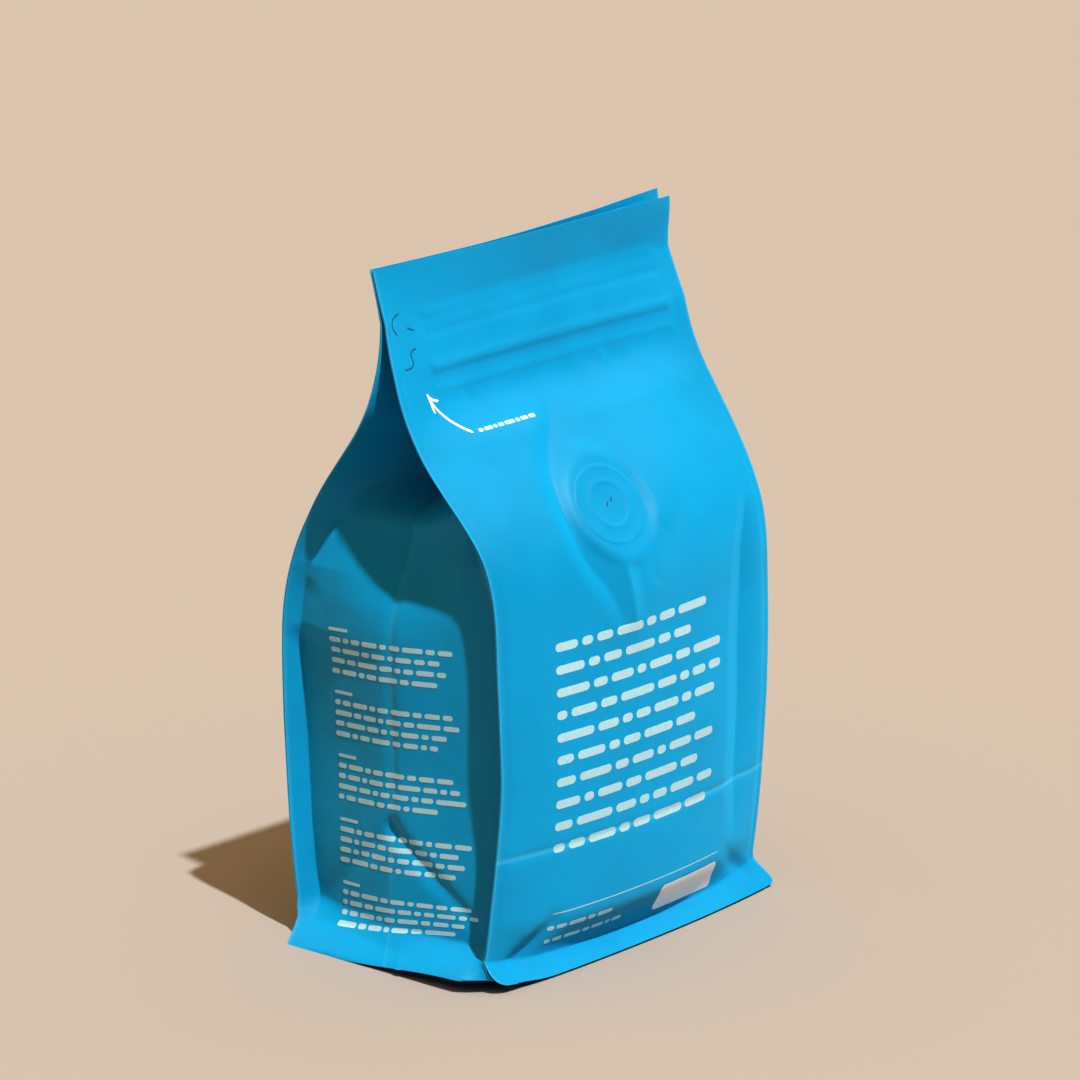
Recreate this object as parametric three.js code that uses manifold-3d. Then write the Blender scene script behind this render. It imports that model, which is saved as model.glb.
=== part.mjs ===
// A side-gusseted, flat-bottomed film pouch of whole-bean coffee, full, sealed and standing.
//
// It is one closed piece: the front and back panels, the two folded side gussets, the four seal
// fins that stand out at the corners, the pressed header with its zip ridges, the flared base
// skirt and the welded degassing valve are all the same film pack, shut and filled.
//
// Frame: millimetres, +Z up, the front panel towards -Y, the floor at z = 0.
// The body is a loft. Each level is one closed ring of points: front panel from left to right,
// right gusset, back panel from right to left, left gusset. Every point comes from the named
// sizes below.
import * as THREE from 'three';
import { mergeVertices } from 'three/addons/utils/BufferGeometryUtils.js';
import Module from 'manifold-3d';

// Driving sizes
const height = 232;            // floor to the cut top edge
const webHalfWidth = 70.4;     // half the flat width of the film, fin edge to fin edge
const film = 0.7;              // thickness of a seal fin at its edge
const filmShare = 0.6;         // most that the film takes up of the room inside the header
const gussetHalf = 46.5;       // half the width of the gusset film, fin edge to centre crease
const skirtHeight = 13;        // base seal that flares out to the floor
const cornerRadius = 12;       // die-cut round at the front left foot of the front skirt
const packCrease = { height: 45, depth: 0.5, width: 1.6 };  // fold left by the flat pack
const calmEdge = 8;            // power by which folds and creases fade out towards a fin

// Depth of the pack between its fins: full in the body, drawn in at the foot, and closing
// through the shoulder into the flat header
const body = { halfDepth: 47.6, footTaper: 8, taperTop: 75, taperPower: 1.5 };
const shoulder = { height: 163.2, span: 14.2 };
const tighten = { from: 195, to: 226, share: 0.7 };  // the header closes faster than the shoulder
const headerOpen = 0.6;        // half the gap between the fin edges of the flat header
// The right top corner springs open
const cornerSpring = { out: 2.1, from: 214, inner: 0.45, outer: 1.05 };

// The middle of the pack between front and back: behind the plan centre in the body and in front
// of it at the shoulder
const middleBow = { body: 2.2, shoulder: -0.9, from: 105, to: 150 };

// The header leans back from the zip to its weld line, bends there, and runs on to the top edge.
// How far back each is: in the middle, more towards the right, more at both ends.
const headerLean = { from: 199, power: 1.2 };
const weldLine = { z: 215, middle: 5.2, toRight: 1.8, ends: -2.6 };
const topEdge = { middle: 4.1, ends: 2.6 };

// The closed zip holds the webs together between the gussets, which keep the ends apart
const zipPinch = { from: 174, to: 188, share: 0.65, gap: 1.2, power: 3 };

// Front and back panels
const belly = { body: 6.2, foot: 8.2, footFrom: 10, footEnds: 70, topFrom: 150, topEnds: 196 };
const bellyFoot = { share: 0.35, below: 1, above: 15 };  // the swell starts over the skirt's fold
const panelRoundness = 2.2;
const shortening = { in: 3.7, from: 140, to: 175 };  // the swollen web draws the fins in
const waist = { height: 65, span: 25, depth: 1 };

// Relief pressed into the header: height, how far it stands out, half its width
const headerRidges = [
  { z: 215, out: 0.3, width: 1.3 },
  { z: 208.5, out: -0.35, width: 1.3 },
  { z: 198.3, out: 1.4, width: 1.7 },
  { z: 191, out: 0.8, width: 1.4 },
];
const ridgeSpan = { middle: 4, half: 62, fade: 3 };  // they stop short of the fins

// Folds and dents of the front panel: from, to (x, z), depth into the pack, half width
const frontFolds = [
  { from: [-37, 176], to: [-24, 128], depth: 1.6, width: 6 },
  { from: [-20, 128], to: [-8, 112], depth: 0.8, width: 5 },
  { from: [-6, 136], to: [0, 116], depth: -1.0, width: 5 },
  { from: [56, 152], to: [60, 88], depth: 1.3, width: 6 },
  { from: [-61, 6], to: [-44, 25], depth: 1.6, width: 4 },
  { from: [60, 8], to: [50, 22], depth: 1.4, width: 4 },
];

// Degassing valve, welded under the front film
const valve = { x: -8, z: 150.8, radius: 14, flatOut: 22, sides: 40 };
const valveProfile = [
  [0, -1.5], [13.9, -1.5], [14, 0.15], [13.3, 0.6], [12.3, 0.35], [9.6, 0.35],
  [8.7, 0.9], [7.3, 0.9], [6.6, 0.4], [0, 0.4],
];

// Side gussets
const finFlank = 6.3;          // the fin stands out this far from the side wall
const flankOverWall = 1.5;     // and at least this far from the sloping roof
const flankFoot = 14;          // the fin grows out of the skirt below this height
const valley = { low: 6.2, high: 9, from: 120, to: 148 };  // from the fin edge to its valley
const wallInset = 1.2;         // side wall behind the line between the fin edges
const wallPower = 2.2;
const roof = { from: 112, to: 152, rise: 5.5 };       // the filled gusset slopes in to a roof
const centreFold = { from: 100, to: 128, depth: 4, reach: 25 };
const centreCrease = { from: 30, to: 60, depth: 0.5, width: 2.5 };
const ledge = { back: 146, front: 156, span: 14 };    // above it the gusset folds deep inside
const bottomFolds = [
  { from: [0, 46], to: [-33, 20], depth: 1.6, width: 3.5 },
  { from: [0, 46], to: [32, 15], depth: 0.8, width: 3.5 },
];

// How far each foot of the skirt stands out sideways at the floor, and how far the gusset
// skirt bows out between its two feet
const footOut = { leftBack: 6.3, rightFront: 3.4, rightBack: 4.5 };
const skirtBow = { left: 6.5, right: -2.5, start: 0.12, power: 2.2 };
const skirtStep = { front: 6.9, leftEnd: 0.7, rightEnd: -0.6, back: 3 };
const skirtFoldHeight = { middle: 5, ends: 5 };
const flarePower = 1.3;
// The left skirt lifts off the floor towards its front end
const skirtLift = { rise: 4.5, start: 0.1, until: 0.6, tuck: 5 };

const sealedTone = new THREE.Color(0x12a3dc);

const clamp01 = (t) => Math.min(1, Math.max(0, t));
const mix = (a, b, t) => a + (b - a) * t;
const bump = (t) => Math.exp(-t * t);
const logistic = (t) => 1 / (1 + Math.exp(-t));

function smooth(from, to, value) {
  const t = clamp01((value - from) / (to - from));
  return t * t * (3 - 2 * t);
}

// Distance from a point to a short straight fold, used to shape its groove
function foldDepth(fold, a, b) {
  const [a0, b0] = fold.from;
  const da = fold.to[0] - a0;
  const db = fold.to[1] - b0;
  const t = clamp01(((a - a0) * da + (b - b0) * db) / (da * da + db * db));
  const distance = Math.hypot(a - a0 - t * da, b - b0 - t * db);
  return fold.depth * bump(distance / fold.width) * mix(1, 0.5, t);
}

// How far back the header is at a place, below and above its weld line
function headerBack(u, z) {
  const atWeld = weldLine.middle + weldLine.toRight * u + weldLine.ends * u ** 4;
  if (z < weldLine.z) {
    const run = Math.max(0, z - headerLean.from) / (weldLine.z - headerLean.from);
    return atWeld * run ** headerLean.power;
  }
  const atTop = topEdge.middle + topEdge.ends * u * u;
  return mix(atWeld, atTop, (z - weldLine.z) / (height - weldLine.z));
}

function midPlane(u, z) {
  const bow = mix(middleBow.body, middleBow.shoulder, smooth(middleBow.from, middleBow.to, z));
  return bow + headerBack(u, z);
}

// Half the distance between the front and back fin edges
function halfDepth(z) {
  const taper = body.footTaper * Math.max(0, 1 - z / body.taperTop) ** body.taperPower;
  const tight = 1 - tighten.share * smooth(tighten.from, tighten.to, z);
  const closing = logistic((shoulder.height - z) / shoulder.span) * tight;
  return headerOpen + (body.halfDepth - taper) * closing;
}

function halfWidth(z) {
  const full = 1 - smooth(shortening.from, shortening.to, z);
  const drawnIn = shortening.in * full * smooth(0, skirtHeight, z);
  return webHalfWidth - drawnIn - waist.depth * bump((z - waist.height) / waist.span);
}

// How far the base skirt has flared, from 0 at its fold to 1 at the floor
function flare(z) {
  return Math.max(0, 1 - z / skirtHeight) ** flarePower;
}

// The skirt's fold runs low in the middle of a panel and higher at its ends
function skirtFold(u) {
  return skirtFoldHeight.middle + skirtFoldHeight.ends * Math.abs(u) ** 3;
}

// How far the base skirt stands out from the foot of a panel
function skirtOut(u, face, z) {
  const run = Math.max(0, 1 - z / skirtFold(u));
  const front = skirtStep.front + (u < 0 ? skirtStep.leftEnd : skirtStep.rightEnd) * u * u;
  return (face < 0 ? front : skirtStep.back * (1 - 2 * u * u)) * run;
}

// A panel's swell at a place u (-1 left, 1 right) and height z
function swell(u, z) {
  const fold = skirtFold(u);
  const full = mix(belly.foot, belly.body, smooth(belly.footFrom, belly.footEnds, z));
  const top = 1 - smooth(belly.topFrom, belly.topEnds, z);
  const low = mix(bellyFoot.share, 1, smooth(fold - bellyFoot.below, fold + bellyFoot.above, z));
  return full * top * low * (1 - Math.abs(u) ** panelRoundness);
}

// How far the zip draws a panel in towards the other one
function pinch(u, z) {
  const held = zipPinch.share * smooth(zipPinch.from, zipPinch.to, z);
  return held * (1 - Math.min(1, Math.abs(u)) ** zipPinch.power) * (halfDepth(z) - zipPinch.gap);
}

// Depth of a panel before its folds. face is -1 for the front and 1 for the back.
function panelDepth(u, face, z) {
  const spring = cornerSpring.out * smooth(cornerSpring.inner, cornerSpring.outer, u)
    * smooth(cornerSpring.from, height, z);
  const half = halfDepth(z) - pinch(u, z) + spring + swell(u, z) + skirtOut(u, face, z);
  return midPlane(u, z) + face * half;
}

// Plan position of a fin's outer edge. side is -1 for the left and 1 for the right.
function finEdge(side, face, z) {
  let x = halfWidth(z);
  if (side < 0 && face < 0) {
    const rise = cornerRadius - Math.min(z, cornerRadius);
    x -= cornerRadius - Math.sqrt(cornerRadius ** 2 - rise ** 2);
  } else {
    x += footOut[side < 0 ? 'leftBack' : (face < 0 ? 'rightFront' : 'rightBack')] * flare(z);
  }
  return { x: side * x, y: panelDepth(side, face, z) };
}

function headerRelief(x, z) {
  const { middle, half, fade } = ridgeSpan;
  const reach = 1 - smooth(half - fade, half + fade, Math.abs(x + middle));
  return headerRidges.reduce((sum, r) => sum + r.out * bump((z - r.z) / r.width), 0) * reach;
}

// The stiff valve holds the film flat around it
const valvePlane = (() => {
  const step = 6;
  const u = valve.x / webHalfWidth;
  const y = panelDepth(u, -1, valve.z);
  const slopeZ = (panelDepth(u, -1, valve.z + step) - panelDepth(u, -1, valve.z - step)) / (2 * step);
  const across = step / webHalfWidth;
  const slopeX = (panelDepth(u + across, -1, valve.z) - panelDepth(u - across, -1, valve.z)) / (2 * step);
  return { y, slopeX, slopeZ };
})();

function creaseDepth(z) {
  return packCrease.depth * bump((z - packCrease.height) / packCrease.width);
}

function frontSurface(u, z) {
  const x = u * halfWidth(z);
  let y = panelDepth(u, -1, z);
  const near = 1 - smooth(valve.radius, valve.flatOut, Math.hypot(x - valve.x, z - valve.z));
  const flat = valvePlane.y + valvePlane.slopeX * (x - valve.x) + valvePlane.slopeZ * (z - valve.z);
  y = mix(y, flat, near);
  const inside = 1 - Math.abs(u) ** calmEdge;
  y += inside * (1 - near) * frontFolds.reduce((sum, f) => sum + foldDepth(f, x, z), 0);
  return y + creaseDepth(z) * inside - headerRelief(x, z);
}

function backSurface(u, z) {
  const inside = 1 - Math.abs(u) ** calmEdge;
  return panelDepth(u, 1, z) - creaseDepth(z) * inside + headerRelief(u * halfWidth(z), z);
}

// The valley behind a fin widens towards the shoulder
function valleyFromEdge(z) {
  return mix(valley.low, valley.high, smooth(valley.from, valley.to, z));
}

// A point of a gusset. face picks its front or back half; p runs from the fin edge to the crease.
function gussetPoint(side, face, p, z) {
  const edge = finEdge(side, face, z);
  const other = finEdge(side, -face, z);
  const half = Math.abs(edge.y - other.y) / 2;
  const along = p * half;
  const offMiddle = half - along;

  // the filled wall: fin flank, valley, rounded wall, centre fold, roof
  const valleyAt = valleyFromEdge(z);
  const wall = wallInset + roof.rise * smooth(roof.from, roof.to, z);
  const outward = clamp01((along - valleyAt) / Math.max(1, half - valleyAt));
  const valleyDepth = Math.max(finFlank, wall + flankOverWall) * smooth(0, flankFoot, z);
  let filled = along < valleyAt
    ? valleyDepth * along / valleyAt
    : wall + (valleyDepth - wall) * (1 - outward) ** wallPower;
  filled += centreFold.depth * smooth(centreFold.from, centreFold.to, z)
    * Math.max(0, 1 - offMiddle / centreFold.reach);
  filled += centreCrease.depth * bump(offMiddle / centreCrease.width)
    * smooth(centreCrease.from, centreCrease.to, z);
  filled += bottomFolds.reduce((sum, f) => sum + foldDepth(f, face * offMiddle, z), 0);

  // the empty top: the film folds straight in to the centre crease
  const depth = Math.sqrt(Math.max(0, gussetHalf ** 2 - half ** 2));
  const ledgeAt = face > 0 ? ledge.back : mix(ledge.front, ledge.back, p);
  const folded = smooth(ledgeAt, ledgeAt + ledge.span, z);

  // the skirt: below its fold the film runs out to the floor
  const round = (face < 0 ? p : 2 - p) / 2;
  const bow = side < 0 ? skirtBow.left : skirtBow.right;
  const shape = bow > 0
    ? smooth(0, skirtBow.start, round) * (1 - round ** skirtBow.power)
    : 1 - (2 * round - 1) ** 2;
  const { start, until } = skirtLift;
  const lift = bow > 0 ? smooth(0, start, round) * smooth(until, start, round) : 0;
  const tuck = skirtLift.tuck * lift * clamp01(1 - z / skirtLift.rise);
  const skirt = tuck - bow * shape;

  const inset = mix(mix(filled, p * depth, folded), skirt, flare(z));
  const base = mix(edge.x, (edge.x + other.x) / 2, p);
  const x = base - side * inset;

  // the film lies between its own panel and the middle of the pack at that place
  const u = Math.max(-1, Math.min(1, x / halfWidth(z)));
  const panel = panelDepth(u, face, z);
  const middle = (panel + panelDepth(u, -face, z)) / 2;
  const thickness = Math.min(film, Math.abs(panel - middle) * filmShare);
  return { x, y: mix(panel - face * thickness, middle, p) };
}

// Places across a panel and along half a gusset, closer together near the fins
const crowding = 1.3;
const finRuns = 0.93;          // from here a panel runs straight to its fin edge
function spread(count) {
  return Array.from({ length: count + 1 }, (_, i) => {
    const t = 2 * i / count - 1;
    return Math.sign(t) * (1 - (1 - Math.abs(t)) ** crowding);
  });
}
const frontPlaces = spread(20);
const backPlaces = spread(10).reverse();
const wallPlaces = [0.09, 0.24, 0.42, 0.62, 0.82, 1];

// Half a gusset: the fin flank up to its valley, then the wall up to the centre crease
function gussetPlaces(side, face, z) {
  const half = Math.abs(finEdge(side, face, z).y - finEdge(side, -face, z).y) / 2;
  const valley = Math.min(0.25, valleyFromEdge(z) / half);
  return [0, valley / 2, valley, ...wallPlaces.map((t) => mix(valley, 1, t))];
}

// Heights of the rings: closer where the pack folds or carries relief
const bands = [
  { to: 5, step: 1.7 }, { to: 22, step: 2.9 }, { to: 42, step: 5 }, { to: 48, step: 1.5 },
  { to: 108, step: 6.5 }, { to: 144, step: 4 }, { to: 164, step: 2.2 }, { to: 186, step: 3.2 },
  { to: 200.5, step: 1.2 }, { to: 206.5, step: 3 }, { to: 217, step: 1.3 },
  { to: height, step: 5 },
];

function ringHeights() {
  const heights = [0];
  for (const band of bands) {
    const from = heights[heights.length - 1];
    const steps = Math.round((band.to - from) / band.step);
    for (let i = 1; i <= steps; i += 1) {
      heights.push(mix(from, band.to, i / steps));
    }
  }
  return heights;
}

function ring(z) {
  const points = [];
  const add = (x, y) => points.push(new THREE.Vector2(x, y));
  const panel = (places, face, surface) => {
    const left = finEdge(-1, face, z);
    const right = finEdge(1, face, z);
    for (const u of places) {
      const x = mix(left.x, right.x, (1 + u) / 2);
      const end = u < 0 ? left.y : right.y;
      add(x, mix(surface(u, z), end, smooth(finRuns, 1, Math.abs(u))));
    }
  };
  const gusset = (side, firstFace) => {
    for (const p of gussetPlaces(side, firstFace, z)) {
      const point = gussetPoint(side, firstFace, p, z);
      add(point.x, point.y);
    }
    for (const p of gussetPlaces(side, -firstFace, z).slice(0, -1).reverse()) {
      const point = gussetPoint(side, -firstFace, p, z);
      add(point.x, point.y);
    }
  };
  panel(frontPlaces, -1, frontSurface);
  gusset(1, -1);
  panel(backPlaces, 1, backSurface);
  gusset(-1, 1);
  return points;
}

// Merges shared corners and drops the triangles that collapse at a pole
function weld(geometry) {
  const merged = mergeVertices(geometry, 1e-3);
  const corners = merged.index.array;
  const kept = [];
  for (let i = 0; i < corners.length; i += 3) {
    const [a, b, c] = corners.slice(i, i + 3);
    if (a !== b && b !== c && c !== a) {
      kept.push(a, b, c);
    }
  }
  merged.setIndex(kept);
  return merged;
}

// Joins the rings with quads split in two, and closes the floor and the top edge
function loft() {
  const heights = ringHeights();
  const rings = heights.map(ring);
  const count = rings[0].length;
  const positions = [];
  rings.forEach((points, level) => {
    for (const point of points) {
      positions.push(point.x, point.y, heights[level]);
    }
  });
  const index = [];
  for (let level = 0; level + 1 < rings.length; level += 1) {
    for (let i = 0; i < count; i += 1) {
      const j = (i + 1) % count;
      const low = level * count;
      const high = low + count;
      index.push(low + i, low + j, high + j, low + i, high + j, high + i);
    }
  }
  for (const [a, b, c] of THREE.ShapeUtils.triangulateShape(rings[0], [])) {
    index.push(a, c, b);
  }
  const top = (rings.length - 1) * count;
  for (const [a, b, c] of THREE.ShapeUtils.triangulateShape(rings[rings.length - 1], [])) {
    index.push(top + a, top + b, top + c);
  }
  const geometry = new THREE.BufferGeometry();
  geometry.setAttribute('position', new THREE.Float32BufferAttribute(positions, 3));
  geometry.setIndex(index);
  return weld(geometry);
}

// The ringed disc of the valve, turned to stand out along the film's normal
function valveDisc() {
  const profile = valveProfile.map(([r, h]) => new THREE.Vector2(r, h));
  const geometry = new THREE.LatheGeometry(profile, valve.sides);
  geometry.deleteAttribute('normal');
  geometry.deleteAttribute('uv');
  const normal = new THREE.Vector3(valvePlane.slopeX, -1, valvePlane.slopeZ).normalize();
  const turn = new THREE.Quaternion().setFromUnitVectors(new THREE.Vector3(0, 1, 0), normal);
  geometry.applyQuaternion(turn);
  geometry.translate(valve.x, valvePlane.y, valve.z);
  return weld(geometry);
}

const wasm = await Module();
wasm.setup();

function toSolid(geometry) {
  return new wasm.Manifold(new wasm.Mesh({
    numProp: 3,
    vertProperties: new Float32Array(geometry.attributes.position.array),
    triVerts: new Uint32Array(geometry.index.array),
  }));
}

function toGeometry(solid) {
  const mesh = solid.getMesh();
  const geometry = new THREE.BufferGeometry();
  geometry.setAttribute('position', new THREE.BufferAttribute(mesh.vertProperties, 3));
  geometry.setIndex(new THREE.BufferAttribute(mesh.triVerts, 1));
  return geometry;
}

// The finished pack stands with the centre of its box on the origin
function pouchMesh() {
  const geometry = toGeometry(toSolid(loft()).add(toSolid(valveDisc())));
  geometry.computeBoundingBox();
  const box = geometry.boundingBox;
  geometry.translate(-(box.min.x + box.max.x) / 2, -(box.min.y + box.max.y) / 2, -box.min.z);
  geometry.computeVertexNormals();
  const material = new THREE.MeshStandardMaterial({
    color: sealedTone,
    roughness: 0.48,
    metalness: 0,
    flatShading: true,
  });
  const mesh = new THREE.Mesh(geometry, material);
  mesh.name = 'pouch';
  return mesh;
}

const coffeePouch = new THREE.Group();
coffeePouch.add(pouchMesh());

export default coffeePouch;
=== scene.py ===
"""A full side-gusseted film pouch of whole-bean coffee, standing in a studio.

The pack is made of the webs that a pouch machine joins: a front and a back web, two gusset webs
and a base web of printed laminate, welded at four corner fins, in the header and round the base
skirt. Every web is a grid whose points are moved by functions of the place across the web and
the height, in millimetres, in the frame of the solid that it stands for.
"""

import math

import bmesh
import bpy
import numpy as np
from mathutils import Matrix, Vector


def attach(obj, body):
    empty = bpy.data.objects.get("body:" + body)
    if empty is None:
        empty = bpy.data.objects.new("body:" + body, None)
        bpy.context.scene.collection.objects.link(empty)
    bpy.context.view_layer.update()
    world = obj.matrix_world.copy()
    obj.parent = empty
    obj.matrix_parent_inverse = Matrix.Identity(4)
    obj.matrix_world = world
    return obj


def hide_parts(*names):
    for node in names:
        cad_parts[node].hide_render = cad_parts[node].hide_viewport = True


bl_info = {
    "name": "Gusseted coffee pouch",
    "version": (1, 0, 0),
    "blender": (4, 5, 0),
    "location": "3D View > Sidebar > Pouch",
    "description": "Builds a full film pouch with its zip, valve, fins and print, and its studio",
    "category": "Add Mesh",
}

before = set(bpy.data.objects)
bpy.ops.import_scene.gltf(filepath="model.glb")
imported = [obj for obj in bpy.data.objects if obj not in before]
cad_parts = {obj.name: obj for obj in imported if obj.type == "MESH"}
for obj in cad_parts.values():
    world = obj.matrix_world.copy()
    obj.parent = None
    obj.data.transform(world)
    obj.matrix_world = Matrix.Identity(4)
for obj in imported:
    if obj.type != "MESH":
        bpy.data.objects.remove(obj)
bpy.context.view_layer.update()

# The solid stands with the middle of its box on the origin. This moves the drawing there, in mm.
BOX_SHIFT = (0.9, -2.2)

# Main sizes of the pack, in mm. "from" and "to" are heights between which a form sets in.
HEIGHT = 232.0
WEB_HALF = 70.4
GUSSET_HALF = 46.5
LOW_CREASE = {"height": 45.0, "depth": 0.3, "width": 1.6}
SKIRT_HEIGHT = 13.0
LEFT_FOOT_RADIUS = 12.0
RIGHT_FOOT_RADIUS = 3.0
HALF_DEPTH = 47.6
FOOT_TAPER = 8.0
TAPER_TOP = 75.0
SHOULDER = (163.2, 14.2)
HEADER_OPEN = 0.6
HEADER_CLOSES = {"share": 0.7, "from": 195.0, "to": 226.0}
WELD_HEIGHT = 215.0
LEAN_HEIGHT = 199.0
MIDDLE = {"low": 2.2, "high": -0.9, "from": 105.0, "to": 150.0}
TOP_SPRING = 2.1
BELLY = {"body": 6.2, "foot": 8.2, "foot_ends": 70.0, "round": 2.2, "from": 150.0, "to": 196.0}
PINCH = {"share": 0.65, "left": 1.2, "from": 174.0, "to": 188.0}
SHORTENING = {"most": 3.7, "from": 140.0, "to": 175.0}
WAIST = {"height": 65.0, "reach": 25.0, "depth": 1.0}

# Ridges pressed into the header: height, how far out, half width
HEADER_RIDGES = (
    (215.0, 0.45, 1.3),
    (208.5, -0.35, 1.3),
    (198.3, 0.78, 2.0),
    (191.0, 0.45, 1.6),
)
RIDGE_SPAN = (5.4, 57.4)

# Straight folds of the front web: from (x, z), to (x, z), depth, half width
FRONT_FOLDS = (
    ((-55.5, 7), (-41, 19), 1.5, 3.2),
    ((60, 8), (46, 20), 0.9, 3.0),
    ((17, 181), (22, 177), 0.5, 1.6),
    ((27, 187), (24, 178), -0.5, 2.2),
    ((37, 184), (47, 175), 0.6, 2.4),
    ((-37, 186), (-30, 180), 0.4, 2.0),
    ((8, 142), (12, 139), 0.3, 1.2),
    ((2, 127), (6, 124), 0.3, 1.3),
)

# Long folds down the front web: height, place across, depth, reach to the left and to the right
LEFT_VALLEY = (
    (110, -12.0, 0.0, 7, 12),
    (125, -17.5, 1.8, 8, 16),
    (137, -25.7, 3.0, 8, 20),
    (150, -27.2, 3.5, 9, 22),
    (160, -24.8, 3.6, 10, 22),
    (168, -18.5, 3.3, 11, 20),
    (175, -10.5, 2.5, 10, 16),
    (181, -5.0, 0.0, 8, 12),
)
RIGHT_VALLEY = (
    (20, 50.0, 0.0, 8, 14),
    (50, 48.3, 1.8, 9, 15),
    (94, 49.9, 3.2, 10, 15),
    (124, 53.0, 3.3, 9, 12),
    (136, 56.0, 2.0, 7, 9),
    (141, 57.5, 0.0, 4, 8),
)
VALVE_RIDGE = (
    (106, -7.0, 0.0, 16, 8),
    (120, -9.5, -1.6, 16, 7),
    (131, -11.5, -2.0, 14, 6),
    (142, -13.0, 0.0, 12, 6),
)
SHOULDER_RIDGE = (
    (98, -6.0, 0.0, 22, 10),
    (120, -3.0, -1.2, 22, 12),
    (136, 3.0, -1.8, 22, 12),
    (147, 17.0, -2.2, 24, 14),
    (160, 27.0, -2.2, 22, 14),
    (177, 38.0, -1.2, 18, 12),
    (187, 47.0, 0.0, 14, 8),
)
CRISP_FOLDS = (LEFT_VALLEY, RIGHT_VALLEY, VALVE_RIDGE)

# Degassing valve
VALVE_PLACE = (-8.0, 150.8)
VALVE_RADIUS = 14.0
VALVE_FLAT = 19.0

VENT_PRICKS = ((-8.9, 150.8), (-6.4, 151.8))
VENT_RISE = 0.22

# Gussets: how far each part of a wall is set in from the fins
FIN_FLANK = {-1: 5.4, 1: 6.3}
WALL_INSET = {-1: 0.2, 1: 1.2}
VALLEY_PLACE = {"low": 5.8, "high": 9.0, "from": 120.0, "to": 148.0}
ROOF = {"inset": 5.5, "from": 116.0, "to": 154.0}
CENTRE_FOLD = {"depth": 4.0, "reach": 25.0, "from": 108.0, "to": 138.0}
CENTRE_CREASE = {"depth": 0.5, "width": 2.5, "from": 30.0, "to": 60.0}
WALL_POWER = 1.3
DART = {"share": 0.45, "from": 98.0, "to": 107.0}
LEDGE = {"back": 146.0, "front": 156.0, "tall": 14.0}
GUSSET_FOLDS = (
    ((0, 46), (-33, 20), 1.2, 2.8),
    ((0, 46), (32, 15), 0.5, 3.5),
    ((33, 139), (37, 124), -1.2, 4.0),
)

# Base skirt
SKIRT_FOLD = {"middle": 5.0, "rise": 5.0}
FOOT_OUT = {"left_back": 6.3, "right_front": 3.4, "right_back": 4.5}
SKIRT_BOW = {-1: 6.5, 1: -2.5}
SKIRT_STEP = {"front": 6.9, "left": 0.7, "right": -0.6, "back": 3.0}
SKIRT_LIFT = {"rise": 4.6, "start": 0.1, "until": 0.8}
BACK_DROP = 1.9
FRONT_LIFT = 0.9
FOOT_LIFT = 1.7
SKIRT_CREASE = {"place": -6.5, "out": 0.7, "width": 1.3}

# Print: simple bars of word length in rows
FRONT_ROWS = {"left": -43.5, "first": 111.0, "pitch": 7.52, "tall": 2.9}
FRONT_ROW_ENDS = (28.8, 20.3, 36.1, 36.0, 32.6, 22.1, 32.0, 24.1, 32.6, 30.0)
SIDE_ROWS = {"sections": 5, "first": 107.2, "drop": 21.6, "rows": 4, "pitch": 3.65, "tall": 1.7}
SIDE_SLOPE = 0.105
WORD_LENGTHS = (4.2, 2.1, 3.1, 5.4, 2.2, 3.6, 6.3, 2.8, 4.6, 1.9, 5.0, 3.3, 7.1)
FOOT_ROWS = {"left": -42.3, "tall": 1.5, "rows": ((15.6, -14.3), (10.6, -7.0))}
ARROW_ROW = {"left": -42.0, "right": -15.5, "low": 177.1, "tall": 0.9}
RULE = {"ends": (-41.5, 40.0), "levels": (21.4, 21.75)}
BLANK_BOX = {"ends": (9.9, 40.8), "levels": (7.5, 18.0), "round": 1.8}

# Camera: how far round from the front and above the floor, in degrees, and its reach in mm
VIEW_ROUND = 48.28
VIEW_RISE = 16.54
VIEW_REACH = 1899.0
VIEW_CENTRE = (2.52, 123.76)
VIEW_LENS = 189.9


def smooth(start, end, value):
    t = np.clip((value - start) / (end - start), 0, 1)
    return t * t * (3 - 2 * t)


def mix(a, b, t):
    return a + (b - a) * t


def sets_in(form, z):
    """How far a named form has set in at a height, from 0 to 1."""
    return smooth(form["from"], form["to"], z)


def bump(t):
    return np.exp(-t * t)


def fold_depth(fold, a, b):
    """Depth of a straight soft fold at a place, fading to half at its far end."""
    (a0, b0), (a1, b1), depth, width = fold
    da, db = a1 - a0, b1 - b0
    t = np.clip(((a - a0) * da + (b - b0) * db) / (da * da + db * db), 0, 1)
    distance = np.hypot(a - a0 - t * da, b - b0 - t * db)
    return depth * bump(distance / width) * mix(1, 0.5, t)


def long_fold(fold, x, z, crisp):
    """Depth of a fold that winds down the web, with one side steeper than the other."""
    heights, places, depths, lefts, rights = zip(*fold)
    at = sum(np.interp(z + step, heights, places) for step in (-4, -2, 0, 2, 4)) / 5
    deep = sum(np.interp(z + step, heights, depths) for step in (-3, 0, 3)) / 3
    reach = np.where(x < at, np.interp(z, heights, lefts), np.interp(z, heights, rights))
    away = (x - at) / reach
    return deep * (np.clip(1 - np.abs(away), 0, 1) ** 1.6 if crisp else bump(away))


def low_crease(z):
    """Depth of the crease that runs round the pack above its foot."""
    return LOW_CREASE["depth"] * bump((z - LOW_CREASE["height"]) / LOW_CREASE["width"])


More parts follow.
